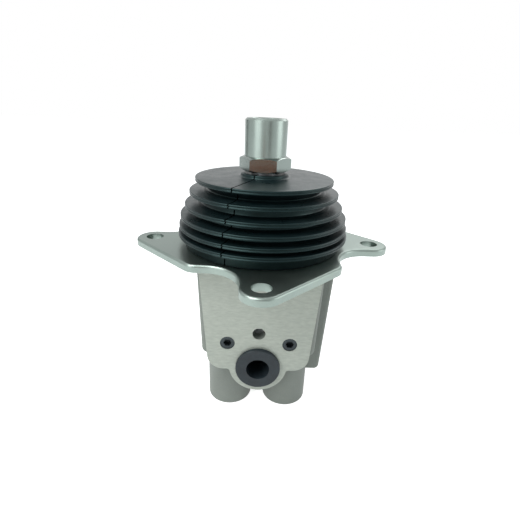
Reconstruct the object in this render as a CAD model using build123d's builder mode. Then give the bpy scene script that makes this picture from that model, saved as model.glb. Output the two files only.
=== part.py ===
"""Hydraulic pilot joystick valve: casing, mounting plate, tilting lever, four pushers and spools.

Frame: the origin is the centre of the mounting plate's top face, +Z runs up the lever, and the
pressure port faces -Y. All lengths are in millimetres.
"""
from build123d import *
from math import sqrt
import os

os.makedirs("parts", exist_ok=True)

# Fits
FIT = 0.05  # radial clearance of a running or slip fit
GAP = 0.3  # gap between pieces that move apart

# Mounting plate
PLATE_T = 4.0
BOLT_PCD = 123.0
BOLT_HOLE_R = 4.75
EAR_R = 10.0
EAR_LINE = BOLT_PCD / 2 + EAR_R * sqrt(2)
WAIST = 40.0
EAR_BLEND_R = EAR_LINE - WAIST - EAR_R * sqrt(2) - 4.0
PLATE_SCREW_X = 26.0
PLATE_SCREW_R = 3.0
SCREW_HEAD_R = 2 * PLATE_SCREW_R
SCREW_LENGTH = 14.0

# Casing
FACE_Y = 33.0
PAD_TOP_X = 31.9
PAD_BOTTOM_X = 27.6
PAD_BOTTOM_Z = -65.4
PORT_Z = PAD_BOTTOM_Z + 1.7
LOBE_R = 16.0
LOBE_BLEND_R = 2.0
BLOCK_X = 34.5
BLOCK_FRONT_Y = -28.0
BLOCK_BOTTOM_Z = -62.0
SIDE_X = 40.6
SIDE_LOW_X = 36.8
SIDE_HALF_Y = 19.0
SIDE_BOTTOM_Z = -75.0
WEB_X = 12.0
WEB_Y = 29.0
WEB_BOTTOM_Z = -73.0
TOWER_R = 12.8
TOWER_BOTTOM_Z = -94.0

# Valve stations
STATION = 16.5
CHAMBER_R = 9.05
CHAMBER_BOTTOM_Z = -50.0
SPOOL_R = 5.0
SPOOL_BORE_BOTTOM_Z = -80.0
WORK_PORT_R = 5.72
ROD_R = 4.0
GUIDE_BOTTOM_Z = -22.0
GUIDE_POCKET_R = 7.3
GUIDE_POCKET_Z = -13.0
SEAL_R = 6.5
SEAL_Z = -8.0
RING_Z = -10.8
RING_R = 0.75
HEAD_R = 6.8
HEAD_TOP_Z = -21.0
SEAT_TOP_Z = -24.0
SEAT_BOTTOM_Z = -26.0
STEM_R = 2.4
RETURN_MEAN_R = 6.0
RETURN_WIRE_R = 0.8
BALANCE_MEAN_R = 3.7
BALANCE_WIRE_R = 0.55
COLLAR_Z = -40.0
COLLAR_T = 2.0
COLLAR_R = BALANCE_MEAN_R + BALANCE_WIRE_R + FIT
NECK_ROD_R = 3.4
GROOVE_R = 3.6
SPOOL_TOP_Z = CHAMBER_BOTTOM_Z - 1
SPOOL_BOTTOM_Z = SPOOL_BORE_BOTTOM_Z + 6
GROOVE_TOP_Z = SPOOL_TOP_Z - 9
GROOVE_BOTTOM_Z = SPOOL_BOTTOM_Z + 8

# Ports and plugs
PRESSURE_BORE_R = 8.35
PRESSURE_HOLE_R = 6.4
INSERT_FLANGE_R = 12.4
INSERT_FLANGE_T = 2.3
TANK_R = 7.5
TANK_Z = -46.0
GALLERY_X = 17.0
GALLERY_Z = -48.4
GALLERY_R = 4.0
BLIND_Z = -42.0
BLIND_R = 3.5

# Universal joint and lever
PIVOT_Z = 10.8
YOKE_SHANK_R = 8.0
YOKE_SHANK_BOTTOM_Z = -26.0
YOKE_FLANGE_R = 12.0
YOKE_FLANGE_T = 2.5
EAR_IN = 5.6
EAR_OUT = 9.5
EAR_END_R = 4.8
BLOCK_HALF = 5.4
TRUNNION_R = 2.5
BUSH_R = 3.5
BRIDGE_Z = 19.0
BRIDGE_TOP_Z = 22.5
SHANK_R = 7.0
SHANK_TOP_Z = 54.0
CAM_R = 28.0
CAM_UNDER_Z = 20.8
CAM_TOP_Z = 24.8
CAM_HUB_R = 13.0
CAM_HUB_TOP_Z = 26.5
CAM_NUT_AF = 27.0
CAM_NUT_TOP_Z = 32.5
NUT_AF = 24.0
NUT_Z = 39.8
NUT_TOP_Z = 47.3
NUT_TURN = -5.2
SLEEVE_R = 11.0
SLEEVE_TOP_Z = 66.0
HANDLE_R = 6.9

# Boot: base band, then outer lip radii with the heights of their centres, from the plate up
BAND_R = 43.2
BAND_WALL = 2.9
LIPS = [(BAND_R + 3.6, 6.45), (BAND_R + 3.0, 10.8), (BAND_R + 2.2, 16.1), (BAND_R - 0.3, 21.65),
        (BAND_R - 2.9, 28.5), (BAND_R - 6.1, 35.25)]
LIP_T = 2.2
VALLEY_DEPTH = 6.3
BOOT_WALL = 1.7
RING_WALL = 1.8
RING_OUT_R = BAND_R - BAND_WALL
RING_IN_R = RING_OUT_R - RING_WALL
RING_H = 5.0
NECK_R = 12.8
NECK_TOP_Z = 38.6
BOOT_TOP_Z = 36.4

stations = [(STATION, -STATION), (STATION, STATION), (-STATION, STATION), (-STATION, -STATION)]
plane_a = Plane(origin=(0, 0, PIVOT_Z), x_dir=(-1, 1, 0), z_dir=(1, 1, 0))
plane_b = Plane(origin=(0, 0, PIVOT_Z), x_dir=(-1, -1, 0), z_dir=(-1, 1, 0))
front = Plane.XZ.offset(FACE_Y)


# Mounting plate: a four-eared pinwheel with rounded upper edges
ear_v = (-EAR_R, -EAR_R - EAR_LINE)
ear_a = (-EAR_R, -WAIST)
ear_b = (-(EAR_LINE - WAIST), -WAIST)
outline = []
for turn in range(4):
    for px, py in (ear_v, ear_a, ear_b):
        for _ in range(turn):
            px, py = py, -px
        outline.append((px, py))

with BuildPart() as mounting_plate:
    with BuildSketch(Plane.XY.offset(-PLATE_T)):
        with BuildLine():
            Polyline(*outline, close=True)
        make_face()
        corners = vertices()
        fillet([v for v in corners if abs(abs(v.X) - WAIST) < 0.1 and abs(abs(v.Y) - EAR_R) < 0.1
                or abs(abs(v.Y) - WAIST) < 0.1 and abs(abs(v.X) - EAR_R) < 0.1], EAR_BLEND_R)
        corners = vertices()
        fillet([v for v in corners if max(abs(v.X), abs(v.Y)) > EAR_LINE], EAR_R - 0.01)
        corners = vertices()
        blunt = EAR_LINE - WAIST
        fillet([v for v in corners if abs(abs(v.X) - WAIST) < 0.1 and abs(abs(v.Y) - blunt) < 0.1
                or abs(abs(v.Y) - WAIST) < 0.1 and abs(abs(v.X) - blunt) < 0.1], 7.5)
    extrude(amount=PLATE_T)
    rim = mounting_plate.faces().sort_by(Axis.Z)[-1].outer_wire().edges()
    fillet(rim, 1.3)
    with BuildSketch(Plane.XY.offset(-PLATE_T)):
        with PolarLocations(BOLT_PCD / 2, 4):
            Circle(BOLT_HOLE_R)
        Circle(YOKE_SHANK_R + FIT)
        with Locations(*stations):
            Circle(ROD_R + 0.5)
    extrude(amount=PLATE_T, mode=Mode.SUBTRACT)
    with Locations((PLATE_SCREW_X, 0, 0), (-PLATE_SCREW_X, 0, 0)):
        CounterSinkHole(PLATE_SCREW_R + GAP, SCREW_HEAD_R + FIT, depth=PLATE_T, counter_sink_angle=90)
mounting_plate.part.label = "mounting_plate"
export_step(mounting_plate.part, "parts/mounting_plate.step")


# Countersunk screws that hold the plate to the casing
with BuildPart() as plate_screws:
    for sx in (PLATE_SCREW_X, -PLATE_SCREW_X):
        with BuildSketch(Plane(origin=(sx, 0, 0))):
            Circle(SCREW_HEAD_R)
        extrude(amount=PLATE_SCREW_R - SCREW_HEAD_R, taper=45)
        with BuildSketch(Plane(origin=(sx, 0, -SCREW_LENGTH))):
            Circle(PLATE_SCREW_R)
        extrude(amount=SCREW_LENGTH - SCREW_HEAD_R / 3)
        with BuildSketch(Plane(origin=(sx, 0, 0))):
            RegularPolygon(SCREW_HEAD_R / 3, 6, major_radius=False)
        extrude(amount=-PLATE_T / 2, mode=Mode.SUBTRACT)
plate_screws.part.label = "plate_screws"
export_step(plate_screws.part, "parts/plate_screws.step")


# Casing
with BuildPart() as casing:
    with BuildSketch(Plane.XY.offset(-PLATE_T)):
        with Locations((0, (FACE_Y + BLOCK_FRONT_Y) / 2)):
            RectangleRounded(2 * BLOCK_X, FACE_Y - BLOCK_FRONT_Y, 6)
    extrude(amount=BLOCK_BOTTOM_Z + PLATE_T, taper=2)
    fillet(casing.faces().sort_by(Axis.Z)[0].edges(), 4)
    with BuildSketch(front):
        with BuildLine():
            Polyline((-PAD_TOP_X, -PLATE_T), (PAD_TOP_X, -PLATE_T), (PAD_BOTTOM_X, PAD_BOTTOM_Z),
                     (-PAD_BOTTOM_X, PAD_BOTTOM_Z), close=True)
        make_face()
        fillet([v for v in vertices() if v.Y < PAD_BOTTOM_Z + 1], PAD_BOTTOM_X - LOBE_R - LOBE_BLEND_R - 1)
        with Locations((0, PORT_Z)):
            Circle(LOBE_R)
        fillet([v for v in vertices() if abs(v.Y - PAD_BOTTOM_Z) < 0.1
                and LOBE_R - 1 < abs(v.X) < LOBE_R], LOBE_BLEND_R)
    extrude(amount=-15)
    with BuildSketch(Plane.XZ.offset(SIDE_HALF_Y)):
        with BuildLine():
            Polyline((18, -PLATE_T), (SIDE_X, -PLATE_T), (SIDE_LOW_X, SIDE_BOTTOM_Z), (18, SIDE_BOTTOM_Z),
                     close=True)
        make_face()
        fillet([v for v in vertices() if v.X > 20 and v.Y < SIDE_BOTTOM_Z + 1], 3)
    extrude(amount=-2 * SIDE_HALF_Y)
    fillet([e for e in casing.edges().filter_by(GeomType.LINE)
            if e.center().X > SIDE_LOW_X and abs(abs(e.center().Y) - SIDE_HALF_Y) < 0.1 and e.length > 40], 2)
    with BuildSketch(Plane.XY.offset(WEB_BOTTOM_Z)):
        RectangleRounded(2 * WEB_X, 2 * WEB_Y, 5)
    extrude(amount=-WEB_BOTTOM_Z - 50)
    with BuildSketch(Plane.XY.offset(TOWER_BOTTOM_Z)):
        with Locations(*stations):
            Circle(TOWER_R)
    extrude(amount=-TOWER_BOTTOM_Z - 20)
    fillet([e for e in casing.edges().filter_by(GeomType.CIRCLE)
            if abs(e.center().Z - TOWER_BOTTOM_Z) < 0.1], 1.3)
    # valve chambers, spool bores and threaded work ports
    with BuildSketch(Plane.XY.offset(CHAMBER_BOTTOM_Z)):
        with Locations(*stations):
            Circle(CHAMBER_R)
    extrude(amount=-CHAMBER_BOTTOM_Z, mode=Mode.SUBTRACT)
    with BuildSketch(Plane.XY.offset(SPOOL_BORE_BOTTOM_Z)):
        with Locations(*stations):
            Circle(SPOOL_R + FIT)
    extrude(amount=-SPOOL_BORE_BOTTOM_Z, mode=Mode.SUBTRACT)
    with BuildSketch(Plane.XY.offset(TOWER_BOTTOM_Z)):
        with Locations(*stations):
            Circle(WORK_PORT_R)
    extrude(amount=SPOOL_BORE_BOTTOM_Z - TOWER_BOTTOM_Z, mode=Mode.SUBTRACT)
    chamfer([e for e in casing.edges().filter_by(GeomType.CIRCLE)
             if abs(e.center().Z - TOWER_BOTTOM_Z) < 0.1 and abs(e.radius - WORK_PORT_R) < 0.1], 0.8)
    # yoke shank hole and plate screw holes
    with BuildSketch(Plane.XY.offset(-PLATE_T)):
        Circle(YOKE_SHANK_R + FIT)
    extrude(amount=YOKE_SHANK_BOTTOM_Z - 1 + PLATE_T, mode=Mode.SUBTRACT)
    with BuildSketch(Plane.XY.offset(-PLATE_T)):
        with Locations((PLATE_SCREW_X, 0), (-PLATE_SCREW_X, 0)):
            Circle(PLATE_SCREW_R + FIT)
    extrude(amount=PLATE_T - SCREW_LENGTH - 1, mode=Mode.SUBTRACT)
    # pressure port, its passage, and the two galleries that feed the spool bores
    with BuildSketch(front):
        with Locations((0, PORT_Z)):
            Circle(PRESSURE_BORE_R)
    extrude(amount=-14, mode=Mode.SUBTRACT)
    with BuildSketch(front):
        with Locations((0, PORT_Z)):
            Circle(4)
    extrude(amount=-FACE_Y - STATION, mode=Mode.SUBTRACT)
    with BuildSketch(Plane.YZ.offset(-STATION)):
        with Locations((STATION, PORT_Z), (-STATION, PORT_Z)):
            Circle(3)
    extrude(amount=2 * STATION, mode=Mode.SUBTRACT)
    # tank port and the galleries that drain the chambers
    with BuildSketch(Plane.YZ.offset(SIDE_X)):
        with Locations((0, TANK_Z)):
            Circle(TANK_R)
    extrude(amount=-16, mode=Mode.SUBTRACT)
    with BuildSketch(Plane.YZ.offset(SIDE_X)):
        with Locations((0, TANK_Z)):
            Circle(3)
    extrude(amount=-SIDE_X - STATION, mode=Mode.SUBTRACT)
    with BuildSketch(Plane.XZ.offset(STATION)):
        with Locations((STATION, TANK_Z), (-STATION, TANK_Z)):
            Circle(3)
    extrude(amount=-2 * STATION, mode=Mode.SUBTRACT)
    # plugged front galleries and the blind passage between them
    with BuildSketch(front):
        with Locations((GALLERY_X, GALLERY_Z), (-GALLERY_X, GALLERY_Z)):
            Circle(GALLERY_R + FIT)
    extrude(amount=-5.4, mode=Mode.SUBTRACT)
    with BuildSketch(front):
        with Locations((GALLERY_X, GALLERY_Z), (-GALLERY_X, GALLERY_Z)):
            Circle(1.5)
    extrude(amount=-12, mode=Mode.SUBTRACT)
    with BuildSketch(front):
        with Locations((0, BLIND_Z)):
            Circle(BLIND_R)
    extrude(amount=-9, mode=Mode.SUBTRACT)
casing.part.label = "casing"
export_step(casing.part, "parts/casing.step")


# Socket-head gallery plugs, set just below the front face
with BuildPart() as gallery_plugs:
    with BuildSketch(front.offset(-0.4)):
        with Locations((GALLERY_X, GALLERY_Z), (-GALLERY_X, GALLERY_Z)):
            Circle(GALLERY_R)
    extrude(amount=-5)
    with BuildSketch(front.offset(-0.4)):
        with Locations((GALLERY_X, GALLERY_Z), (-GALLERY_X, GALLERY_Z)):
            RegularPolygon(2.0, 6, major_radius=False)
    extrude(amount=-3, mode=Mode.SUBTRACT)
gallery_plugs.part.label = "gallery_plugs"
export_step(gallery_plugs.part, "parts/gallery_plugs.step")


# Expander plug at the bottom of the blind passage
with BuildPart() as passage_plug:
    with BuildSketch(front.offset(-6)):
        with Locations((0, BLIND_Z)):
            Circle(BLIND_R)
    extrude(amount=-3)
    with BuildSketch(front.offset(-6)):
        with Locations((0, BLIND_Z)):
            Circle(2.2)
    extrude(amount=-1.8, taper=25, mode=Mode.SUBTRACT)
passage_plug.part.label = "passage_plug"
export_step(passage_plug.part, "parts/passage_plug.step")


# Flanged insert in the pressure port
with BuildPart() as pressure_port_insert:
    with BuildSketch(front):
        with Locations((0, PORT_Z)):
            Circle(INSERT_FLANGE_R)
    extrude(amount=INSERT_FLANGE_T)
    fillet(pressure_port_insert.faces().sort_by(Axis.Y)[0].edges(), 0.6)
    with BuildSketch(front):
        with Locations((0, PORT_Z)):
            Circle(PRESSURE_BORE_R - FIT)
    extrude(amount=-12)
    with BuildSketch(front.offset(INSERT_FLANGE_T)):
        with Locations((0, PORT_Z)):
            Circle(PRESSURE_HOLE_R)
    extrude(amount=-12 - INSERT_FLANGE_T, mode=Mode.SUBTRACT)
pressure_port_insert.part.label = "pressure_port_insert"
export_step(pressure_port_insert.part, "parts/pressure_port_insert.step")


# Guide bushings with their seals, one per station
for n, (sx, sy) in enumerate(stations, 1):
    axis_plane = Plane(origin=(sx, sy, 0))
    with BuildPart() as guide:
        with BuildSketch(axis_plane.offset(GUIDE_BOTTOM_Z)):
            Circle(CHAMBER_R - FIT)
        extrude(amount=-PLATE_T - GUIDE_BOTTOM_Z)
        with BuildSketch(axis_plane.offset(GUIDE_BOTTOM_Z)):
            Circle(ROD_R + FIT)
        extrude(amount=-PLATE_T - GUIDE_BOTTOM_Z, mode=Mode.SUBTRACT)
        with BuildSketch(axis_plane.offset(GUIDE_BOTTOM_Z)):
            Circle(GUIDE_POCKET_R)
        extrude(amount=GUIDE_POCKET_Z - GUIDE_BOTTOM_Z, mode=Mode.SUBTRACT)
        with BuildSketch(axis_plane.offset(SEAL_Z)):
            Circle(SEAL_R)
        extrude(amount=-PLATE_T - SEAL_Z, mode=Mode.SUBTRACT)
        with BuildSketch(axis_plane.offset(RING_Z - 1.2)):
            Circle(CHAMBER_R + 1)
            Circle(CHAMBER_R - FIT - 2 * RING_R, mode=Mode.SUBTRACT)
        extrude(amount=2.4, mode=Mode.SUBTRACT)
    guide.part.label = f"guide_bush_{n}"
    export_step(guide.part, f"parts/guide_bush_{n}.step")

with BuildPart() as guide_rings:
    with Locations(*[(sx, sy, RING_Z) for sx, sy in stations]):
        Torus(CHAMBER_R - FIT - RING_R, RING_R)
guide_rings.part.label = "guide_rings"
export_step(guide_rings.part, "parts/guide_rings.step")

with BuildPart() as rod_seals:
    with BuildSketch(Plane.XY.offset(SEAL_Z)):
        with Locations(*stations):
            Circle(SEAL_R)
            Circle(ROD_R + FIT, mode=Mode.SUBTRACT)
    extrude(amount=3.4)
rod_seals.part.label = "rod_seals"
export_step(rod_seals.part, "parts/rod_seals.step")


# Pushers, spring seats, springs and spools, one of each per station
for n, (sx, sy) in enumerate(stations, 1):
    axis_plane = Plane(origin=(sx, sy, 0))
    tip_z = CAM_UNDER_Z - GAP
    with BuildPart() as pusher:
        with BuildSketch(axis_plane.offset(HEAD_TOP_Z)):
            Circle(ROD_R)
        extrude(amount=tip_z - ROD_R - HEAD_TOP_Z)
        with Locations((sx, sy, tip_z - ROD_R)):
            Sphere(ROD_R)
        with BuildSketch(axis_plane.offset(SEAT_TOP_Z)):
            Circle(HEAD_R)
        extrude(amount=HEAD_TOP_Z - SEAT_TOP_Z)
        with BuildSketch(axis_plane.offset(SEAT_TOP_Z)):
            Circle(STEM_R + GAP)
        extrude(amount=8, mode=Mode.SUBTRACT)
    pusher.part.label = f"pusher_{n}"
    export_step(pusher.part, f"parts/pusher_{n}.step")

    with BuildPart() as seat:
        with BuildSketch(axis_plane.offset(SEAT_BOTTOM_Z)):
            Circle(HEAD_R + 0.1)
            Circle(STEM_R + GAP, mode=Mode.SUBTRACT)
        extrude(amount=SEAT_TOP_Z - SEAT_BOTTOM_Z)
    seat.part.label = f"spring_seat_{n}"
    export_step(seat.part, f"parts/spring_seat_{n}.step")

    with BuildPart() as return_spring:
        low_z = CHAMBER_BOTTOM_Z + RETURN_WIRE_R + FIT
        high_z = SEAT_BOTTOM_Z - RETURN_WIRE_R - GAP
        with BuildLine() as coil:
            Helix((high_z - low_z) / 6, high_z - low_z, RETURN_MEAN_R, center=(sx, sy, low_z))
        with BuildSketch(Plane(origin=coil.line @ 0, z_dir=coil.line % 0)):
            Circle(RETURN_WIRE_R)
        sweep(is_frenet=True)
    return_spring.part.label = f"return_spring_{n}"
    export_step(return_spring.part, f"parts/return_spring_{n}.step")

    with BuildPart() as balance_spring:
        low_z = COLLAR_Z + BALANCE_WIRE_R + FIT
        high_z = SEAT_BOTTOM_Z - BALANCE_WIRE_R - GAP
        with BuildLine() as coil:
            Helix((high_z - low_z) / 5, high_z - low_z, BALANCE_MEAN_R, center=(sx, sy, low_z))
        with BuildSketch(Plane(origin=coil.line @ 0, z_dir=coil.line % 0)):
            Circle(BALANCE_WIRE_R)
        sweep(is_frenet=True)
    balance_spring.part.label = f"balance_spring_{n}"
    export_step(balance_spring.part, f"parts/balance_spring_{n}.step")

    with BuildPart() as spool:
        for low_z, high_z, radius in ((SPOOL_BOTTOM_Z, GROOVE_BOTTOM_Z, SPOOL_R),
                                      (GROOVE_BOTTOM_Z, GROOVE_TOP_Z, GROOVE_R),
                                      (GROOVE_TOP_Z, SPOOL_TOP_Z, SPOOL_R),
                                      (SPOOL_TOP_Z, COLLAR_Z - COLLAR_T, NECK_ROD_R),
                                      (COLLAR_Z - COLLAR_T, COLLAR_Z, COLLAR_R),
                                      (COLLAR_Z, SEAT_BOTTOM_Z - 2, STEM_R)):
            with BuildSketch(axis_plane.offset(low_z)):
                Circle(radius)
            extrude(amount=high_z - low_z)
    spool.part.label = f"spool_{n}"
    export_step(spool.part, f"parts/spool_{n}.step")


# Lower yoke of the universal joint, screwed into the casing
with BuildPart() as base_yoke:
    with BuildSketch(Plane.XY):
        Circle(YOKE_FLANGE_R)
    extrude(amount=YOKE_FLANGE_T)
    with BuildSketch(Plane.XY.offset(YOKE_SHANK_BOTTOM_Z)):
        Circle(YOKE_SHANK_R)
    extrude(amount=-YOKE_SHANK_BOTTOM_Z)
    for start in (EAR_IN, -EAR_OUT):
        with BuildSketch(plane_a.offset(start)):
            Circle(EAR_END_R)
            with Locations((0, -PIVOT_Z / 2)):
                Rectangle(2 * EAR_END_R, PIVOT_Z)
            Circle(BUSH_R, mode=Mode.SUBTRACT)
        extrude(amount=EAR_OUT - EAR_IN)
base_yoke.part.label = "base_yoke"
export_step(base_yoke.part, "parts/base_yoke.step")


# Plain bushes in both yokes
for label, plane in (("base_bushes", plane_a), ("lever_bushes", plane_b)):
    with BuildPart() as bushes:
        for start in (EAR_IN, -EAR_OUT):
            with BuildSketch(plane.offset(start)):
                Circle(BUSH_R)
                Circle(TRUNNION_R + FIT, mode=Mode.SUBTRACT)
            extrude(amount=EAR_OUT - EAR_IN)
    bushes.part.label = label
    export_step(bushes.part, f"parts/{label}.step")


# Journal cross
with BuildPart() as journal_cross:
    with BuildSketch(plane_a.offset(-BLOCK_HALF)):
        RectangleRounded(2 * BLOCK_HALF, 2 * BLOCK_HALF, 1.5)
    extrude(amount=2 * BLOCK_HALF)
    for plane in (plane_a, plane_b):
        with BuildSketch(plane.offset(-EAR_OUT + 0.2)):
            Circle(TRUNNION_R)
        extrude(amount=2 * EAR_OUT - 0.4)
journal_cross.part.label = "journal_cross"
export_step(journal_cross.part, "parts/journal_cross.step")


# Upper yoke with the lever shank
with BuildPart() as lever_yoke:
    for start in (EAR_IN, -EAR_OUT):
        with BuildSketch(plane_b.offset(start)):
            Circle(EAR_END_R)
            with Locations((0, (BRIDGE_TOP_Z - PIVOT_Z) / 2)):
                Rectangle(2 * EAR_END_R, BRIDGE_TOP_Z - PIVOT_Z)
            Circle(BUSH_R, mode=Mode.SUBTRACT)
        extrude(amount=EAR_OUT - EAR_IN)
    with BuildSketch(plane_b.offset(-EAR_OUT)):
        with Locations((0, (BRIDGE_Z + BRIDGE_TOP_Z) / 2 - PIVOT_Z)):
            Rectangle(2 * EAR_END_R, BRIDGE_TOP_Z - BRIDGE_Z)
    extrude(amount=2 * EAR_OUT)
    with BuildSketch(Plane.XY.offset(BRIDGE_TOP_Z)):
        Circle(SHANK_R)
    extrude(amount=SHANK_TOP_Z - BRIDGE_TOP_Z)
    chamfer(lever_yoke.faces().sort_by(Axis.Z)[-1].edges(), 0.8)
lever_yoke.part.label = "lever_yoke"
export_step(lever_yoke.part, "parts/lever_yoke.step")


# Cam disc that presses the pushers, and the nut that clamps it on the bridge
with BuildPart() as cam_disc:
    with BuildSketch(Plane.XY.offset(CAM_UNDER_Z)):
        Circle(CAM_R)
    extrude(amount=CAM_TOP_Z - CAM_UNDER_Z)
    fillet(cam_disc.edges(), 0.8)
    with BuildSketch(Plane.XY.offset(CAM_TOP_Z)):
        Circle(CAM_HUB_R)
    extrude(amount=CAM_HUB_TOP_Z - CAM_TOP_Z)
    with BuildSketch(Plane.XY.offset(CAM_UNDER_Z)):
        Circle(CAM_HUB_R - 1.5)
    extrude(amount=BRIDGE_TOP_Z - CAM_UNDER_Z, mode=Mode.SUBTRACT)
    with BuildSketch(Plane.XY.offset(CAM_UNDER_Z)):
        Circle(SHANK_R + FIT)
    extrude(amount=CAM_HUB_TOP_Z - CAM_UNDER_Z, mode=Mode.SUBTRACT)
cam_disc.part.label = "cam_disc"
export_step(cam_disc.part, "parts/cam_disc.step")

for label, af, low_z, high_z in (("cam_nut", CAM_NUT_AF, CAM_HUB_TOP_Z, CAM_NUT_TOP_Z),
                                 ("lever_nut", NUT_AF, NUT_Z, NUT_TOP_Z)):
    with BuildPart() as nut:
        with BuildSketch(Plane.XY.offset(low_z)):
            RegularPolygon(af / 2, 6, major_radius=False, rotation=NUT_TURN)
        extrude(amount=high_z - low_z)
        with BuildSketch(Plane.XZ):
            corner = af / sqrt(3)
            drop = (corner - 0.48 * af) * 0.55
            with BuildLine():
                Polyline((0, low_z), (0.48 * af, low_z), (corner + 0.01, low_z + drop),
                         (corner + 0.01, high_z - drop), (0.48 * af, high_z), (0, high_z), close=True)
            make_face()
        revolve(axis=Axis.Z, mode=Mode.INTERSECT)
        with BuildSketch(Plane.XY.offset(low_z)):
            Circle(SHANK_R + FIT)
        extrude(amount=high_z - low_z, mode=Mode.SUBTRACT)
    nut.part.label = label
    export_step(nut.part, f"parts/{label}.step")


# Sleeve that takes the handle
with BuildPart() as handle_adapter:
    with BuildSketch(Plane.XY.offset(NUT_TOP_Z)):
        Circle(SLEEVE_R)
    extrude(amount=SLEEVE_TOP_Z - NUT_TOP_Z)
    chamfer(handle_adapter.faces().sort_by(Axis.Z)[-1].edges(), 0.9)
    with BuildSketch(Plane.XY.offset(NUT_TOP_Z)):
        Circle(SHANK_R + FIT)
    extrude(amount=SHANK_TOP_Z + 0.5 - NUT_TOP_Z, mode=Mode.SUBTRACT)
    with BuildSketch(Plane.XY.offset(SHANK_TOP_Z + 0.5)):
        Circle(SHANK_R + 0.8)
    extrude(amount=1.5, mode=Mode.SUBTRACT)
    with BuildSketch(Plane.XY.offset(SHANK_TOP_Z + 2)):
        Circle(HANDLE_R)
    extrude(amount=SLEEVE_TOP_Z - SHANK_TOP_Z - 2, mode=Mode.SUBTRACT)
    chamfer([e for e in handle_adapter.edges().filter_by(GeomType.CIRCLE)
             if abs(e.center().Z - SLEEVE_TOP_Z) < 0.1 and abs(e.radius - HANDLE_R) < 0.1], 1.0)
handle_adapter.part.label = "handle_adapter"
export_step(handle_adapter.part, "parts/handle_adapter.step")


# Rubber boot: rounded lips over an inner wall, a flat top and a neck collar
outer = [(RING_OUT_R, 0), (BAND_R, 0)]
inner = [(RING_OUT_R, RING_H)]
for i, (lip_r, lip_z) in enumerate(LIPS):
    half = LIP_T / 2
    if i == 0:
        outer.append((BAND_R, lip_z - half))
    outer += [(lip_r - 0.5, lip_z - half), (lip_r, lip_z - half + 0.5), (lip_r, lip_z + half - 0.5),
              (lip_r - 0.5, lip_z + half)]
    if i < len(LIPS) - 1:
        next_r, next_z = LIPS[i + 1]
        valley_r = min(lip_r, next_r) - VALLEY_DEPTH
        if i == 0:
            inner.append((valley_r - BOOT_WALL, RING_H))
        outer += [(valley_r, lip_z + half + 0.5), (valley_r, next_z - half - 0.5)]
        inner.append((valley_r - BOOT_WALL, (lip_z + next_z) / 2))
inner.append((inner[-1][0], BOOT_TOP_Z - 2))
inner.append((SHANK_R + 0.35, BOOT_TOP_Z - 2))
outer += [(NECK_R + 0.9, BOOT_TOP_Z + 0.3), (NECK_R, BOOT_TOP_Z + 1.0), (NECK_R, NECK_TOP_Z)]
outer.append((SHANK_R + 0.35, NECK_TOP_Z))

with BuildPart() as boot:
    with BuildSketch(Plane.XZ):
        with BuildLine():
            Polyline(*(outer + inner[::-1]), close=True)
        make_face()
    revolve(axis=Axis.Z)
boot.part.label = "boot"
export_step(boot.part, "parts/boot.step")


# Ring that holds the boot's base on the plate
with BuildPart() as boot_ring:
    with BuildSketch(Plane.XY):
        Circle(RING_OUT_R)
        Circle(RING_IN_R, mode=Mode.SUBTRACT)
    extrude(amount=RING_H)
boot_ring.part.label = "boot_ring"
export_step(boot_ring.part, "parts/boot_ring.step")
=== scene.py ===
# %% [markdown]
# # A hydraulic pilot joystick valve
# The valve sits under an operator's armrest. A cast aluminium casing hangs from a stamped
# steel plate, a rubber boot covers the lever's joint, and a turned sleeve takes the grip.
# The hard parts come ready made from the frame. This lesson gives them their metals,
# builds the soft boot, and sets a small studio around the valve.

# %% Tools
import math

import bmesh
import bpy
from mathutils import Matrix, Vector


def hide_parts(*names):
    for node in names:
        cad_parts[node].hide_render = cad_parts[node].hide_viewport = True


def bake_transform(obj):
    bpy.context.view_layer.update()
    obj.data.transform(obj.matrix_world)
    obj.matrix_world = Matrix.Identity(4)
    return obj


MM = 0.001
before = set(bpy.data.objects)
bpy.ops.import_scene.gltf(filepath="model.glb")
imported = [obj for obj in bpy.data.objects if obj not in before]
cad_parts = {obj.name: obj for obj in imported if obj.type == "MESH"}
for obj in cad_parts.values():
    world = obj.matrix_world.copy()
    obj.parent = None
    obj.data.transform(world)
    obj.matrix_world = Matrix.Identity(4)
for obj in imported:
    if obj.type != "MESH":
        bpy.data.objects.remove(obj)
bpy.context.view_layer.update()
print("solids in the frame:", len(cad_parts))


def linear(hex_colour):
    """An sRGB hex colour as the linear RGBA that Blender's sockets take."""
    parts = [int(hex_colour[i:i + 2], 16) / 255 for i in (1, 3, 5)]
    return (*[c / 12.92 if c <= 0.04045 else ((c + 0.055) / 1.055) ** 2.4 for c in parts], 1.0)


def add(tree, kind, values=None, links=None, **settings):
    """Adds one node: settings first, then socket values, then links into its sockets."""
    made = tree.nodes.new(kind)
    for key, value in settings.items():
        setattr(made, key, value)
    for key, value in (values or {}).items():
        made.inputs[key].default_value = value
    for key, source in (links or {}).items():
        tree.links.new(source, made.inputs[key])
    return made


def calc(tree, operation, *terms):
    """The output of one Math node. A number is set on its socket, and an output is linked."""
    made = add(tree, "ShaderNodeMath", operation=operation)
    for socket, term in zip(made.inputs, terms):
        if isinstance(term, bpy.types.NodeSocket):
            tree.links.new(term, socket)
        else:
            socket.default_value = term
    return made.outputs[0]


def tint(tree, share, first, second):
    """The output of a colour mix. Each colour is a hex text or another node's output."""
    made = add(tree, "ShaderNodeMix", links={0: share}, data_type="RGBA")
    for key, colour in ((6, first), (7, second)):
        if isinstance(colour, str):
            made.inputs[key].default_value = linear(colour)
        else:
            tree.links.new(colour, made.inputs[key])
    return made.outputs[2]


def noise(tree, place, size_mm, **values):
    """The output of a noise whose features are about size_mm across."""
    made = add(tree, "ShaderNodeTexNoise", {"Scale": 1 / (size_mm * MM), **values}, {"Vector": place})
    return made.outputs[0]


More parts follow.
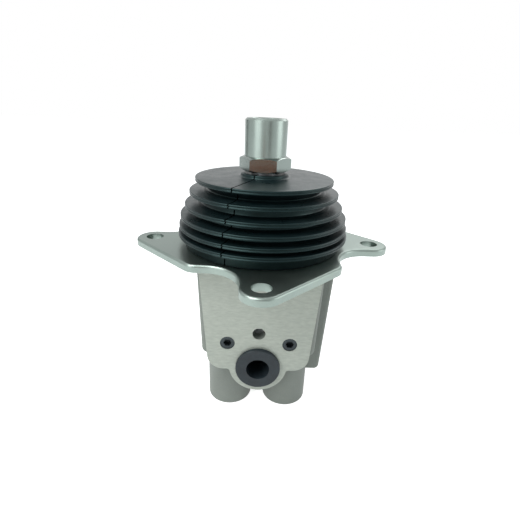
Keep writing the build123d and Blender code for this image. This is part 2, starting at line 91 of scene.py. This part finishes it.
# %% [markdown]
# ## The camera
# The valve is seen from a little above, from the side of its pressure port. The camera
# is tipped down 22 degrees and rolled 2 degrees. A matrix whose columns are the camera's
# right, up and back directions places it exactly.

# %% Camera
LENS_MM = 26.35
PITCH, YAW, ROLL = (math.radians(a) for a in (22.38, -0.39, 2.2))
EYE = Vector((-2.16, -207.25, 72.89)) * MM

forward = Vector((0, math.cos(PITCH), -math.sin(PITCH)))
level_right = Vector((1, 0, 0))
level_up = level_right.cross(forward)
turn = Matrix.Rotation(YAW, 3, "Z")
right = turn @ (level_right * math.cos(ROLL) + level_up * math.sin(ROLL))
up = turn @ (level_up * math.cos(ROLL) - level_right * math.sin(ROLL))
back = -(turn @ forward)

lens = bpy.data.cameras.new("camera")
lens.lens = LENS_MM
lens.sensor_width = 36
lens.clip_start = 0.01
camera = bpy.data.objects.new("camera", lens)
camera.matrix_world = Matrix((right, up, back)).transposed().to_4x4()
camera.location = EYE
bpy.context.collection.objects.link(camera)
bpy.context.scene.camera = camera
bpy.context.scene.view_settings.view_transform = "Standard"
print("camera is", round(EYE.length / MM), "mm from the plate's centre")

# %% [markdown]
# ## The studio
# Satin metal shows the room more than its own colour. So the studio has broad lamps for the
# bright bands, and three cards for the darker ones. The floor and the world are white to the
# camera and in reflections, and the floor keeps a soft shadow.

# %% World and floor
def ray_seen(tree):
    """1 for rays from the camera, off a gloss or through a glass, else 0."""
    rays = add(tree, "ShaderNodeLightPath").outputs
    most = rays["Is Camera Ray"]
    for kind in ("Is Glossy Ray", "Is Transmission Ray"):
        most = calc(tree, "MAXIMUM", most, rays[kind])
    return most


world = bpy.data.worlds.new("studio")
bpy.context.scene.world = world
world.use_nodes = True
tree = world.node_tree
tree.nodes.clear()
seen = ray_seen(tree)
white = add(tree, "ShaderNodeBackground", {"Color": (1, 1, 1, 1), "Strength": 1.0})
room = add(tree, "ShaderNodeBackground", {"Color": linear("#BCCCCE"), "Strength": 0.42})
choose = add(tree, "ShaderNodeMixShader",
             links={0: seen, 1: room.outputs[0], 2: white.outputs[0]})
add(tree, "ShaderNodeOutputWorld", links={"Surface": choose.outputs[0]})

FLOOR_Z = -94.2 * MM
FLOOR_HALF = 3.0
floor_mesh = bpy.data.meshes.new("floor")
floor_mesh.from_pydata([(x * FLOOR_HALF, y * FLOOR_HALF, FLOOR_Z)
                        for x, y in ((-1, -1), (1, -1), (1, 1), (-1, 1))], [], [(0, 1, 2, 3)])
floor = bpy.data.objects.new("floor", floor_mesh)
bpy.context.collection.objects.link(floor)
paper = bpy.data.materials.new("white_paper")
paper.use_nodes = True
tree = paper.node_tree
tree.nodes.clear()
matt = add(tree, "ShaderNodeBsdfDiffuse", {"Color": linear("#EDEDED")})
FLOOR_GLOW = 0.9
lit = calc(tree, "MULTIPLY", ray_seen(tree), FLOOR_GLOW)
glow = add(tree, "ShaderNodeEmission", {"Color": (1, 1, 1, 1)}, {"Strength": lit})
paper_sum = add(tree, "ShaderNodeAddShader", links={0: matt.outputs[0], 1: glow.outputs[0]})
add(tree, "ShaderNodeOutputMaterial", links={"Surface": paper_sum.outputs[0]})
floor_mesh.materials.append(paper)


# %% Lamps and cards
def aim(thing, place, target=(0, 0, 0)):
    """Stands thing at place, in mm, with its -Z turned to target."""
    thing.location = Vector(place) * MM
    direction = (Vector(target) - Vector(place)) * MM
    thing.rotation_euler = direction.to_track_quat("-Z", "Y").to_euler()


LAMPS = (("key", (-330, -260, 560), 420, 4.2), ("fill", (-430, -420, 150), 380, 0.9),
         ("side", (560, -120, 120), 300, 0.7), ("rim", (260, 560, 560), 420, 1.6))
for name, place, size, watts in LAMPS:
    light = bpy.data.lights.new(name, "AREA")
    light.size = size * MM
    light.energy = watts
    lamp = bpy.data.objects.new(name, light)
    bpy.context.collection.objects.link(lamp)
    aim(lamp, place)

CARDS = (("brown_card", (-58, -330, -12), 0, 96, 62, "#B0633C"),
         ("side_card", (125, -330, 40), 0, 110, 90, "#6A5144"),
         ("left_card", (-330, 230, 40), 125, 260, 180, "#4A5450"))
for name, place, turned_by, width, height, colour in CARDS:
    sheet = bpy.data.meshes.new(name)
    sheet.from_pydata([(x * width * MM / 2, y * height * MM / 2, 0)
                      for x, y in ((-1, -1), (1, -1), (1, 1), (-1, 1))], [], [(0, 1, 2, 3)])
    card = bpy.data.objects.new(name, sheet)
    bpy.context.collection.objects.link(card)
    card.location = Vector(place) * MM
    card.rotation_euler = (math.radians(90), 0, math.radians(turned_by))
    board = bpy.data.materials.new("matt_board")
    board.use_nodes = True
    board.node_tree.nodes["Principled BSDF"].inputs["Base Color"].default_value = linear(colour)
    board.node_tree.nodes["Principled BSDF"].inputs["Specular IOR Level"].default_value = 0.0
    sheet.materials.append(board)
    card.visible_camera = False
    card.visible_shadow = False
print("lamps:", len(LAMPS), "cards:", len(CARDS))

# %% [markdown]
# ## Metals
# Each metal is one Principled shader with a base colour, and noise that varies its colour,
# roughness and bump at a real grain size. All patterns read Object coordinates, so they stay
# on the part when it moves.


# %% A metal with grain
def metal(name, colour, dark, metallic, roughness, grain_mm, bump_mm, cloud_mm=12.0, swing=0.06):
    """A metal with a fine grain, and broad clouds between two colours."""
    material = bpy.data.materials.new(name)
    material.use_nodes = True
    tree = material.node_tree
    shader = tree.nodes["Principled BSDF"]
    shader.inputs["Metallic"].default_value = metallic
    place = add(tree, "ShaderNodeTexCoord").outputs["Object"]
    cloud = noise(tree, place, cloud_mm, Detail=3.0)
    grain = noise(tree, place, grain_mm, Detail=2.0)
    blend = calc(tree, "MULTIPLY_ADD", grain, 0.5, cloud)
    share = add(tree, "ShaderNodeMapRange", {1: 0.45, 2: 1.05, 3: 0.0, 4: 1.0}, {0: blend}).outputs[0]
    tree.links.new(tint(tree, share, dark, colour), shader.inputs["Base Color"])
    rough = add(tree, "ShaderNodeMapRange", {1: 0.3, 2: 0.7, 3: roughness - swing, 4: roughness + swing},
                {0: cloud})
    tree.links.new(rough.outputs[0], shader.inputs["Roughness"])
    bump = add(tree, "ShaderNodeBump", {"Strength": 1.0, "Distance": bump_mm * MM}, {"Height": grain})
    tree.links.new(bump.outputs[0], shader.inputs["Normal"])
    return material


steel = metal("ground_steel", "#B4B7B8", "#94989A", 1.0, 0.30, 0.6, 0.01)
spring_wire = metal("drawn_spring_wire", "#8F9497", "#74797C", 1.0, 0.34, 0.5, 0.01)
bronze = metal("sintered_bronze", "#A98B5B", "#8C6F43", 1.0, 0.42, 0.4, 0.02)
black_oxide = metal("black_oxide_steel", "#3A4144", "#23282A", 0.7, 0.38, 0.5, 0.01)

# %% [markdown]
# ## Cast aluminium with a milled face
# The casing is die cast, then blasted, which leaves an even matt grey with a grain of about
# half a millimetre. Its port face is milled flat afterwards, so it is smoother and lighter. A
# mask on the Object Y coordinate tells that face from the rest. A second mask paints shade,
# near black, into the bore behind the port, and ends inside the casing so that it leaves the back alone.

# %% Casing aluminium
MILLED_Y = -32.9 * MM
MILLED_ROUGH = 0.36
STREAK_MM = 0.9
PORT_Z, PORT_BORE_R = -63.7, 8.5
BORE_START_Y, BORE_END_Y = -32.0, -14.0
aluminium = metal("blasted_cast_aluminium", "#7D837D", "#6E746E", 0.25, 0.56, 0.55, 0.07, 14.0)
tree = aluminium.node_tree
shader = tree.nodes["Principled BSDF"]
place = add(tree, "ShaderNodeTexCoord").outputs["Object"]
axes = add(tree, "ShaderNodeSeparateXYZ", links={0: place})
milled = calc(tree, "LESS_THAN", axes.outputs["Y"], MILLED_Y)
stretch = add(tree, "ShaderNodeMapping", {"Scale": (0.3, 1.0, 1.0)}, {"Vector": place})
streaks = noise(tree, stretch.outputs[0], STREAK_MM, Detail=4.0)
tone = tint(tree, streaks, "#8C928A", "#B0B6AC")
cast_colour = shader.inputs["Base Color"].links[0].from_socket
cast_rough = shader.inputs["Roughness"].links[0].from_socket
both = tint(tree, milled, cast_colour, tone)

# Painted shade: the port bore, from the milled face to BORE_END_Y, is coloured near black.
from_port = add(tree, "ShaderNodeVectorMath", {1: (0, 0, PORT_Z * MM)}, {0: place}, operation="SUBTRACT")
ring = add(tree, "ShaderNodeVectorMath", {1: (1, 0, 1)}, {0: from_port.outputs[0]}, operation="MULTIPLY")
reach = add(tree, "ShaderNodeVectorMath", links={0: ring.outputs[0]}, operation="LENGTH")
inside = calc(tree, "LESS_THAN", reach.outputs["Value"], PORT_BORE_R * MM)
behind_face = calc(tree, "GREATER_THAN", axes.outputs["Y"], BORE_START_Y * MM)
before_end = calc(tree, "LESS_THAN", axes.outputs["Y"], BORE_END_Y * MM)
bore = calc(tree, "MULTIPLY", behind_face, before_end)
bore_shade = calc(tree, "MULTIPLY", inside, bore)
tree.links.new(tint(tree, bore_shade, both, "#0B0C0D"), shader.inputs["Base Color"])
smooth = add(tree, "ShaderNodeMix", {3: MILLED_ROUGH}, {0: milled, 2: cast_rough}, data_type="FLOAT")
tree.links.new(smooth.outputs[0], shader.inputs["Roughness"])

# %% [markdown]
# ## Zinc plate
# The mounting plate, the nut and the sleeve are plated with zinc, a thin bright layer with a
# faint blue-green cast and a soft mottle. The sleeve was turned on a lathe first, so fine rings
# run round it: a noise squeezed along Z draws them.

# %% Zinc finishes
zinc = metal("zinc_plated_sheet", "#89958F", "#7E8A85", 1.0, 0.34, 0.9, 0.004, 20.0, 0.02)
turned = metal("zinc_plated_turned_steel", "#8A9590", "#808B86", 1.0, 0.31, 0.8, 0.0, 20.0, 0.02)
nut_zinc = metal("zinc_plated_nut", "#8C9692", "#828C88", 1.0, 0.17, 0.8, 0.0, 20.0, 0.02)
tree = turned.node_tree
place = add(tree, "ShaderNodeTexCoord").outputs["Object"]
axes = add(tree, "ShaderNodeSeparateXYZ", links={0: place})
RING_MM = 0.5
RING_DEPTH_MM = 0.004
rings = add(tree, "ShaderNodeTexNoise", {"Scale": 1.0, "Detail": 3.0}, noise_dimensions="1D")
tree.links.new(calc(tree, "MULTIPLY", axes.outputs["Z"], 1 / (RING_MM * MM)), rings.inputs["W"])
ridge = add(tree, "ShaderNodeBump", {"Strength": 0.5, "Distance": RING_DEPTH_MM * MM},
            {"Height": rings.outputs[0]})
tree.links.new(ridge.outputs[0], tree.nodes["Principled BSDF"].inputs["Normal"])

# %% [markdown]
# ## Rubber and plastic
# The boot is moulded nitrile rubber: nearly black, with a soft sheen that lights the rounded
# lips. The port insert is moulded polyethylene, a touch bluer. Both have a fine moulded grain.


# %% Moulded finishes
DUST_MM = 7.0


def moulded(name, colour, worn, roughness, grain_mm, bump_mm):
    """A moulded rubber or plastic, with a fine grain and faint paler dust."""
    material = bpy.data.materials.new(name)
    material.use_nodes = True
    tree = material.node_tree
    shader = tree.nodes["Principled BSDF"]
    place = add(tree, "ShaderNodeTexCoord").outputs["Object"]
    dust = noise(tree, place, DUST_MM, Detail=6.0, Roughness=0.65)
    share = add(tree, "ShaderNodeMapRange", {1: 0.42, 2: 0.75}, {0: dust}).outputs[0]
    tree.links.new(tint(tree, share, colour, worn), shader.inputs["Base Color"])
    rough = add(tree, "ShaderNodeMapRange", {1: 0.3, 2: 0.7, 3: roughness - 0.05, 4: roughness + 0.07},
                {0: dust})
    tree.links.new(rough.outputs[0], shader.inputs["Roughness"])
    grain = noise(tree, place, grain_mm, Detail=2.0)
    bump = add(tree, "ShaderNodeBump", {"Strength": 1.0, "Distance": bump_mm * MM}, {"Height": grain})
    tree.links.new(bump.outputs[0], shader.inputs["Normal"])
    return material


nitrile = moulded("moulded_nitrile_rubber", "#0B1618", "#131E20", 0.31, 0.5, 0.004)
tree = nitrile.node_tree
shader = tree.nodes["Principled BSDF"]
shader.inputs["Specular Tint"].default_value = linear("#B2E0DE")
place = add(tree, "ShaderNodeTexCoord").outputs["Object"]
RUBBER_GLOSS = 0.36
SEAM_ANGLE = -24.5
SEAM_LINE_MM = 0.36
seam_x, seam_y = math.sin(math.radians(SEAM_ANGLE)), -math.cos(math.radians(SEAM_ANGLE))
across, along = (add(tree, "ShaderNodeVectorMath", {1: way}, {0: place}, operation="DOT_PRODUCT")
                 for way in ((-seam_y, seam_x, 0), (seam_x, seam_y, 0)))
# Painted shade: along the seam the rubber is coloured near black, made dull and left without gloss, for the
# dark gap of the split.
thin = calc(tree, "LESS_THAN", calc(tree, "ABSOLUTE", across.outputs["Value"]), SEAM_LINE_MM * MM)
slit_shade = calc(tree, "MULTIPLY", thin, calc(tree, "GREATER_THAN", along.outputs["Value"], 0.0))
plain = shader.inputs["Base Color"].links[0].from_socket
tree.links.new(tint(tree, slit_shade, plain, "#020303"), shader.inputs["Base Color"])
plain_rough = shader.inputs["Roughness"].links[0].from_socket
dull = add(tree, "ShaderNodeMix", {3: 0.95}, {0: slit_shade, 2: plain_rough}, data_type="FLOAT")
tree.links.new(dull.outputs[0], shader.inputs["Roughness"])
gloss = calc(tree, "MULTIPLY_ADD", slit_shade, -RUBBER_GLOSS, RUBBER_GLOSS)
tree.links.new(gloss, shader.inputs["Specular IOR Level"])
polyethylene = moulded("moulded_polyethylene", "#1C2429", "#2A3338", 0.42, 0.6, 0.015)
polyethylene.node_tree.nodes["Principled BSDF"].inputs["Specular IOR Level"].default_value = 0.3
seal_rubber = moulded("seal_rubber", "#1A1B1C", "#242526", 0.5, 0.5, 0.01)

# %% Dress the solids
FINISH = {
    "casing": aluminium, "mounting_plate": zinc, "lever_nut": nut_zinc, "handle_adapter": turned,
    "plate_screws": black_oxide, "gallery_plugs": black_oxide, "passage_plug": steel,
    "pressure_port_insert": polyethylene, "guide_rings": seal_rubber, "rod_seals": seal_rubber,
    "base_bushes": bronze, "lever_bushes": bronze, "boot_ring": zinc,
}
for name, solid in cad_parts.items():
    if name == "boot":
        continue
    finish = spring_wire if "spring_" in name and "seat" not in name else FINISH.get(name, steel)
    solid.data.materials.clear()
    solid.data.materials.append(finish)

# %% [markdown]
# ## The boot
# A bellows is a profile turned about an axis, so the profile's points are worked out first and
# a Geometry Nodes tree turns them. Each lip is a rounded edge on a thin wall, and a deep valley
# parts it from the next. The boot is split on one side, so that it can be put round the
# lever: the tree bunches a few columns together there and sinks the middle one.

# %% Boot profile
LIPS = ((46.8, 6.45), (46.2, 10.8), (45.4, 16.1), (42.9, 21.65), (40.3, 28.5), (37.1, 35.25))
EDGE_R = 0.45
GROOVE = 0.42
SHOULDER = 0.2
LIP_HALF = 1.1
VALLEY = 6.3
WALL = 1.7
BAND_R, BAND_IN_R = 43.2, 40.35
NECK_R, NECK_IN_R, NECK_TOP = 12.8, 7.35, 38.6
DISC_TOP, DISC_UNDER = 36.45, 34.4
DISC_EDGE_R = LIPS[-1][0] - 1.4
BASE_LOW, BASE_TOP = 0.05, 5.05
FOLD_R = 0.8
STEP_IN, STEP_H = 2.2, 0.3


def arc(r, z, radius, start, end, count):
    """Points on an arc about (r, z), from start to end degrees, 0 pointing outwards."""
    angles = (start + (end - start) * i / (count - 1) for i in range(count))
    return [(r + radius * math.cos(math.radians(a)), z + radius * math.sin(math.radians(a))) for a in angles]


def lip(r, z):
    """The edge of one lip, from its underside to its top: two rounded corners and a groove."""
    flat = LIP_HALF - EDGE_R
    groove = r - GROOVE
    return ([(r - EDGE_R - SHOULDER, z - LIP_HALF)] + arc(r - EDGE_R, z - flat, EDGE_R, -90, 40, 7)
            + [(groove, z - flat * 0.35), (groove - 0.06, z), (groove, z + flat * 0.35)]
            + arc(r - EDGE_R, z + flat, EDGE_R, -40, 90, 7) + [(r - EDGE_R - SHOULDER, z + LIP_HALF)])


def valley(low, high):
    """The fold between two lips: in along the lower lip's top, round, and out again."""
    (low_r, low_z), (high_r, high_z) = low, high
    bottom = min(low_r, high_r) - VALLEY
    half = (high_z - low_z) / 2 - LIP_HALF
    turn_r = min(FOLD_R, half * 0.9)
    floor_z = low_z + LIP_HALF
    step_r = bottom + STEP_IN
    return ([(step_r + 0.5, floor_z), (step_r + 0.25, floor_z + 0.08), (step_r, floor_z + STEP_H)]
            + arc(bottom + turn_r, floor_z + STEP_H + turn_r, turn_r, 270, 180, 5)
            + arc(bottom + turn_r, high_z - LIP_HALF - turn_r, turn_r, 180, 90, 5))


def inner_r(low, high):
    return min(low[0], high[0]) - VALLEY - WALL


first_under = LIPS[0][1] - LIP_HALF
ribs = [(BAND_IN_R, BASE_LOW), (BAND_R - 0.4, BASE_LOW), (BAND_R, BASE_LOW + 0.4),
        (BAND_R, first_under - 0.5), (BAND_R + 0.5, first_under)]
for low, high in zip(LIPS[:-2], LIPS[1:-1]):
    ribs += lip(*low) + valley(low, high)
ribs += lip(*LIPS[-2])
last_valley = valley(LIPS[-2], LIPS[-1])
cut = len(last_valley) // 2
ribs += last_valley[:cut + 2]
join = last_valley[cut + 1]
join_in = (inner_r(LIPS[-2], LIPS[-1]), join[1])
ribs.append(join_in)
for low, high in reversed(list(zip(LIPS[:-1], LIPS[1:]))):
    ribs.append((inner_r(low, high), (low[1] + high[1]) / 2 if high is not LIPS[-1] else low[1]))
ribs += [(inner_r(*LIPS[:2]), BASE_TOP), (BAND_IN_R, BASE_TOP)]

top = last_valley[cut + 1:] + lip(*LIPS[-1])
top = top[:-1] + [(DISC_EDGE_R, DISC_TOP)]
DISC_STEPS = 14
for i in range(1, DISC_STEPS + 1):
    share = i / DISC_STEPS
    top.append((DISC_EDGE_R + (NECK_R + 1.2 - DISC_EDGE_R) * share, DISC_TOP + 0.25 * share))
top += arc(NECK_R + 1.0, DISC_TOP + 1.25, 1.0, 270, 180, 5)[1:]
top += [(NECK_R, NECK_TOP - 0.5), (NECK_R - 0.15, NECK_TOP - 0.15), (NECK_R - 0.5, NECK_TOP)]
top += [(NECK_IN_R, NECK_TOP), (NECK_IN_R, DISC_UNDER)]
for i in range(1, DISC_STEPS + 1):
    share = i / DISC_STEPS
    top.append((NECK_IN_R + (join_in[0] - NECK_IN_R) * share, DISC_UNDER))
top.append(join_in)
print("profile points: ribs", len(ribs), "top", len(top))

# %% Turning tree
SEAM_COLUMNS = 8
SEAM_HALF_DEG = 0.9
SEAM_DEPTH = 0.5
SEAM_REACH = 1.6
SEAM_DROP = 0.6
WELD = 0.002 * MM
COLUMNS = 200


def turning_tree():
    """Turns the profile held by the object, x for radius and z for height, about Z."""
    tree = bpy.data.node_groups.new("turned_profile", "GeometryNodeTree")
    face = tree.interface
    face.new_socket("Geometry", in_out="INPUT", socket_type="NodeSocketGeometry")
    for label, kind in (("Columns", "NodeSocketInt"), ("Seam angle", "NodeSocketFloat"),
                        ("Seam half width", "NodeSocketFloat"), ("Seam depth", "NodeSocketFloat"),
                        ("Finish", "NodeSocketMaterial")):
        face.new_socket(label, in_out="INPUT", socket_type=kind)
    face.new_socket("Geometry", in_out="OUTPUT", socket_type="NodeSocketGeometry")
    given = add(tree, "NodeGroupInput").outputs
    size = add(tree, "GeometryNodeAttributeDomainSize", links={0: given["Geometry"]}, component="MESH")
    rows = size.outputs[0]
    sheet = add(tree, "GeometryNodeMeshGrid", links={"Vertices X": given["Columns"], "Vertices Y": rows})
    index = add(tree, "GeometryNodeInputIndex").outputs[0]
    column = calc(tree, "FLOOR", calc(tree, "DIVIDE", index, rows))
    row = calc(tree, "MODULO", index, rows)
    where = add(tree, "GeometryNodeInputPosition").outputs[0]
    spot = add(tree, "GeometryNodeSampleIndex", links={"Geometry": given["Geometry"], "Index": row},
               data_type="FLOAT_VECTOR", domain="POINT")
    tree.links.new(where, spot.inputs["Value"])
    profile = add(tree, "ShaderNodeSeparateXYZ", links={0: spot.outputs[0]}).outputs
    minus = calc(tree, "SUBTRACT", 0.0, given["Seam half width"])
    rest = calc(tree, "SUBTRACT", 360.0, given["Seam half width"])
    last = calc(tree, "SUBTRACT", given["Columns"], 1.0)
    near = add(tree, "ShaderNodeMapRange", {1: 0.0, 2: SEAM_COLUMNS},
               {0: column, 3: minus, 4: given["Seam half width"]}).outputs[0]
    far = add(tree, "ShaderNodeMapRange", {1: SEAM_COLUMNS},
              {0: column, 2: last, 3: given["Seam half width"], 4: rest}).outputs[0]
    is_near = calc(tree, "LESS_THAN", column, SEAM_COLUMNS + 0.5)
    degrees = add(tree, "ShaderNodeMix", links={0: is_near, 2: far, 3: near}, data_type="FLOAT").outputs[0]
    angle = calc(tree, "MULTIPLY", calc(tree, "ADD", degrees, given["Seam angle"]), math.pi / 180)
    away = calc(tree, "ABSOLUTE", calc(tree, "SUBTRACT", column, SEAM_COLUMNS / 2))
    sink = add(tree, "ShaderNodeMapRange", {1: 0.0, 2: SEAM_REACH, 4: 0.0},
               {0: away, 3: given["Seam depth"]}).outputs[0]
    radius = calc(tree, "SUBTRACT", profile["X"], sink)
    x = calc(tree, "MULTIPLY", radius, calc(tree, "SINE", angle))
    y = calc(tree, "MULTIPLY", calc(tree, "MULTIPLY", radius, calc(tree, "COSINE", angle)), -1.0)
    above_disc = calc(tree, "GREATER_THAN", profile["Z"], (DISC_UNDER + 0.1) * MM)
    drop = calc(tree, "MULTIPLY", calc(tree, "MULTIPLY", sink, SEAM_DROP), above_disc)
    z = calc(tree, "SUBTRACT", profile["Z"], drop)
    point = add(tree, "ShaderNodeCombineXYZ", links={"X": x, "Y": y, "Z": z}).outputs[0]
    bent = add(tree, "GeometryNodeSetPosition", links={"Geometry": sheet.outputs[0], "Position": point})
    closed = add(tree, "GeometryNodeMergeByDistance", {"Distance": WELD}, {"Geometry": bent.outputs[0]})
    real = add(tree, "GeometryNodeRealizeInstances", links={"Geometry": closed.outputs[0]})
    dressed = add(tree, "GeometryNodeSetMaterial",
                  links={"Geometry": real.outputs[0], "Material": given["Finish"]})
    add(tree, "NodeGroupOutput", links={"Geometry": dressed.outputs[0]})
    return tree


TURNED = turning_tree()


def turn_profile(name, points):
    """A closed, turned piece from a loop of (radius, height) points in mm."""
    loop = bpy.data.meshes.new(name + "_profile")
    spots = [(r * MM, 0, z * MM) for r, z in points] + [(points[0][0] * MM, 0, points[0][1] * MM)]
    loop.from_pydata(spots, [(i, i + 1) for i in range(len(spots) - 1)], [])
    maker = bpy.data.objects.new(name + "_maker", loop)
    bpy.context.collection.objects.link(maker)
    turner = maker.modifiers.new("turn", "NODES")
    turner.node_group = TURNED
    sizes = {"Columns": COLUMNS, "Seam angle": SEAM_ANGLE, "Seam half width": SEAM_HALF_DEG,
             "Seam depth": SEAM_DEPTH * MM, "Finish": nitrile}
    for item in TURNED.interface.items_tree:
        if item.in_out == "INPUT" and item.name in sizes:
            turner[item.identifier] = sizes[item.name]
    bpy.context.view_layer.update()
    shape = bpy.data.meshes.new_from_object(maker.evaluated_get(bpy.context.evaluated_depsgraph_get()))
    shape.name = name
    bpy.data.objects.remove(maker)
    piece = bpy.data.objects.new(name, shape)
    bpy.context.collection.objects.link(piece)
    shape.shade_smooth()
    return piece


# %% Make the boot
def tidy_normals(piece):
    """Merges doubles and points every face outwards."""
    work = bmesh.new()
    work.from_mesh(piece.data)
    bmesh.ops.remove_doubles(work, verts=work.verts, dist=WELD)
    bmesh.ops.recalc_face_normals(work, faces=work.faces)
    work.to_mesh(piece.data)
    work.free()


boot_ribs = turn_profile("boot_ribs", ribs)
boot_top = turn_profile("boot_top", top)
for piece in (boot_ribs, boot_top):
    tidy_normals(piece)
    open_edges = len(piece.data.edges) * 2 - sum(len(f.vertices) for f in piece.data.polygons)
    print(piece.name, len(piece.data.polygons), "faces, open edges:", open_edges)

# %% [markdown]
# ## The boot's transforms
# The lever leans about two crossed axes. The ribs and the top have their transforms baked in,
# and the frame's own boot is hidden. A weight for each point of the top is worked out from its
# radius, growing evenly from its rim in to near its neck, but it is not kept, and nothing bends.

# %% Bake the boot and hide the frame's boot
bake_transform(boot_ribs)
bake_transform(boot_top)
RIM_R, HOLD_R = join_in[0] * MM, 14.5 * MM
for vertex in boot_top.data.vertices:
    t = (RIM_R - math.hypot(vertex.co.x, vertex.co.y)) / (RIM_R - HOLD_R)
    t = min(1.0, max(0.0, t))
for piece in (boot_ribs, boot_top):
    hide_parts("boot")

# %% [markdown]
# ## Springs that shorten
# Each pusher is held up by a return spring, whose foot stays on the casing. The balance
# Each spring is copied as an object of its own, with its transform baked in, and the frame's
# spring is hidden. The copies are not shortened.
# A weight that grows evenly along the coil shortens it, and the end turns stay whole.


def shortening(name):
    """A copy of a spring as an object of its own, with its transform baked in. The frame's spring is hidden.
    """
    coil = bpy.data.objects.new(name + "_coil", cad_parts[name].data.copy())
    bpy.context.collection.objects.link(coil)
    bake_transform(coil)
    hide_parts(name)


STATIONS = (1, 2, 3, 4)
for station in STATIONS:
    shortening(f"return_spring_{station}")
    shortening(f"balance_spring_{station}")
print("springs that shorten:", 2 * len(STATIONS))
